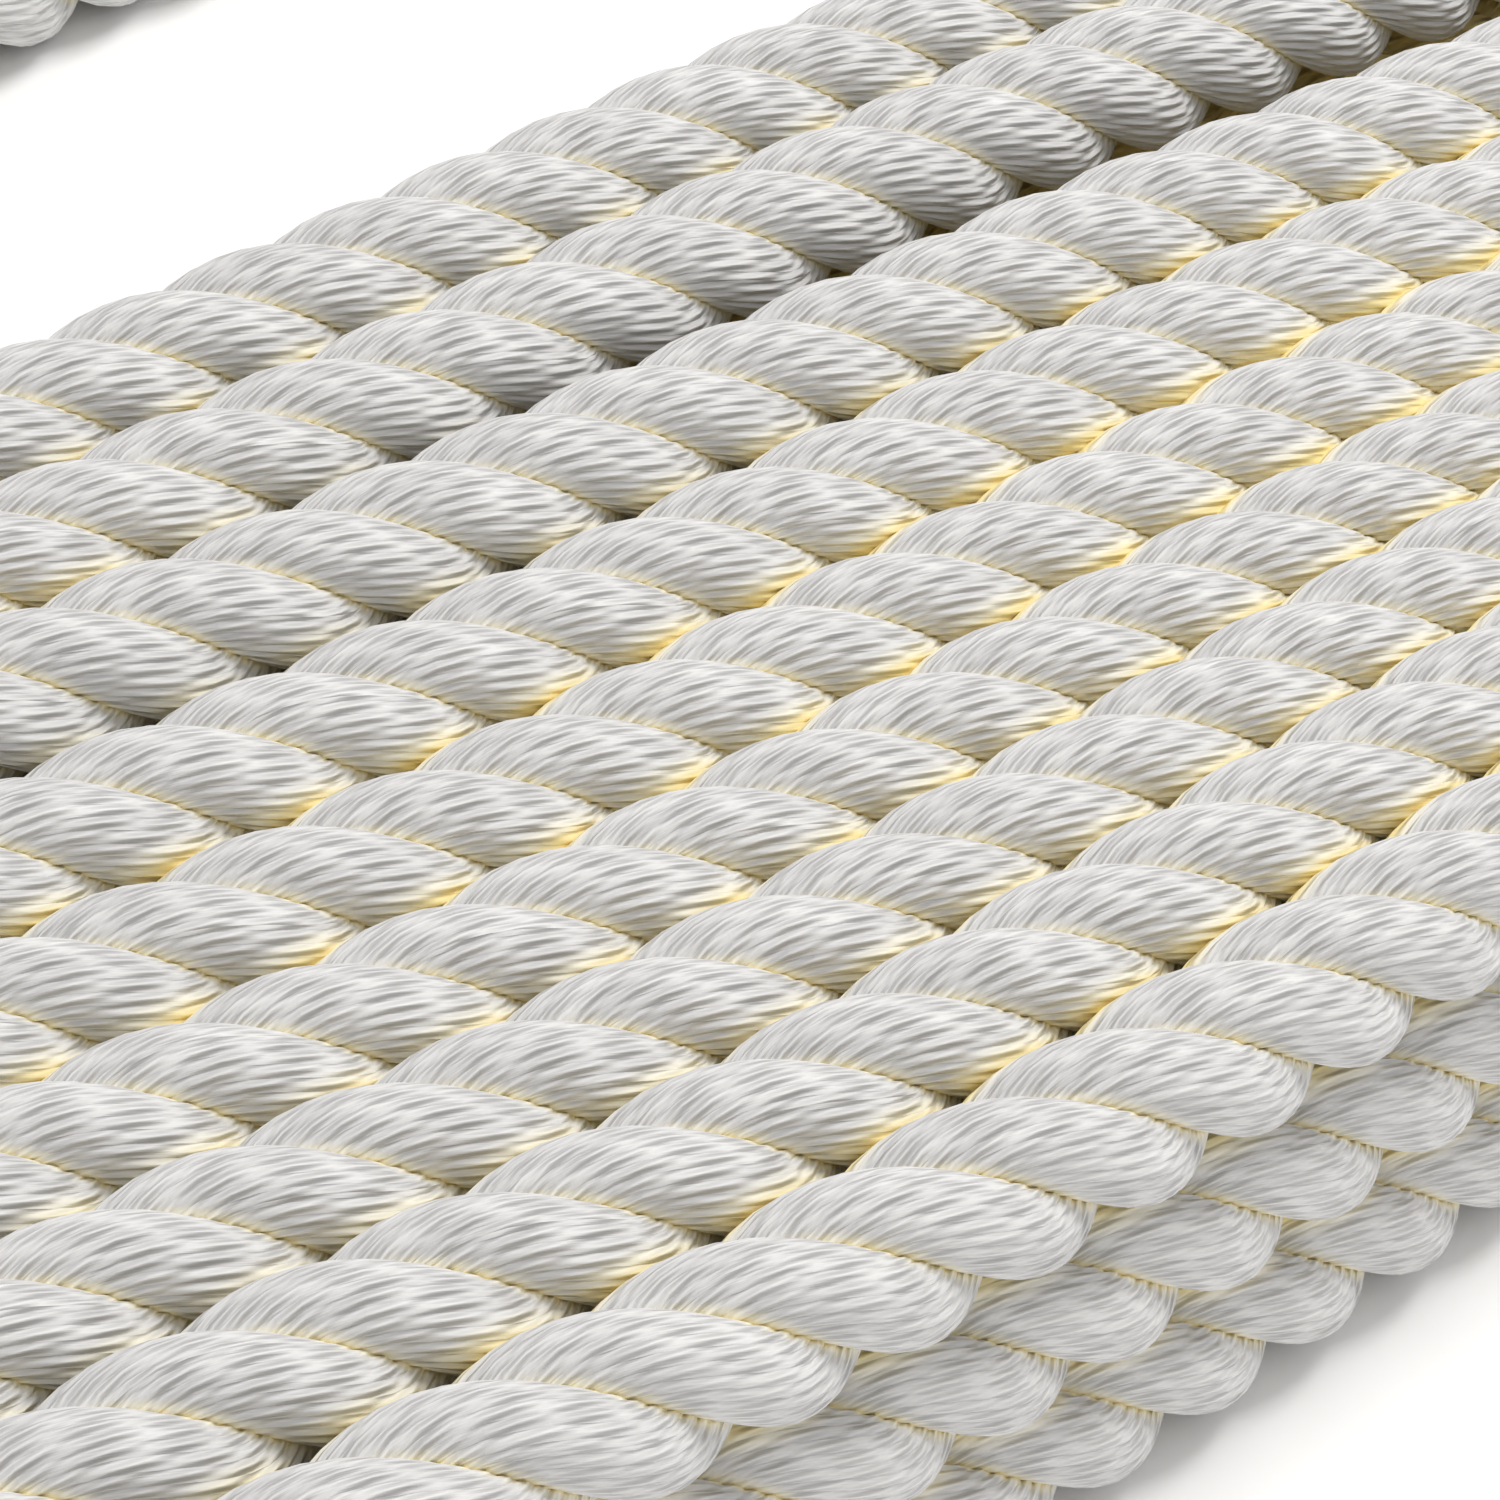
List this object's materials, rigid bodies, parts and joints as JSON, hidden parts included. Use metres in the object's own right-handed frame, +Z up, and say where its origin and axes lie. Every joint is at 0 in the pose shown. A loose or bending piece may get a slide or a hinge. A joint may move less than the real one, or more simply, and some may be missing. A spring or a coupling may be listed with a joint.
{
  "type": "coiled dock line",
  "caption": "White laid nylon mooring rope wound flat into a long oval coil, strapped at both ends, with a spliced eye beside it and a whipped, fused end inside.",
  "frame": {"origin": "centre of the whole object's footprint, on the surface it lies on", "axes": "+Z up from the floor, +X along the coil's long straight sides, +Y towards the side where the spliced eye lies"},
  "size_m": [0.5578, 0.3948, 0.0379],
  "materials": {
    "nylon_rope": "silky",
    "whipping_twine": "waxed",
    "fused_nylon": "satin",
    "strap_webbing": "matte"
  },
  "bodies": {
    "root": {"rope_coil": "nylon_rope", "strap_left": "strap_webbing", "strap_right": "strap_webbing", "lead_leg": "nylon_rope", "eye_splice": "nylon_rope", "splice_whipping": "whipping_twine", "eye_loop": "nylon_rope", "tail_leg": "nylon_rope", "end_whipping": "whipping_twine", "fused_tip": "fused_nylon"}
  },
  "joints": []
}
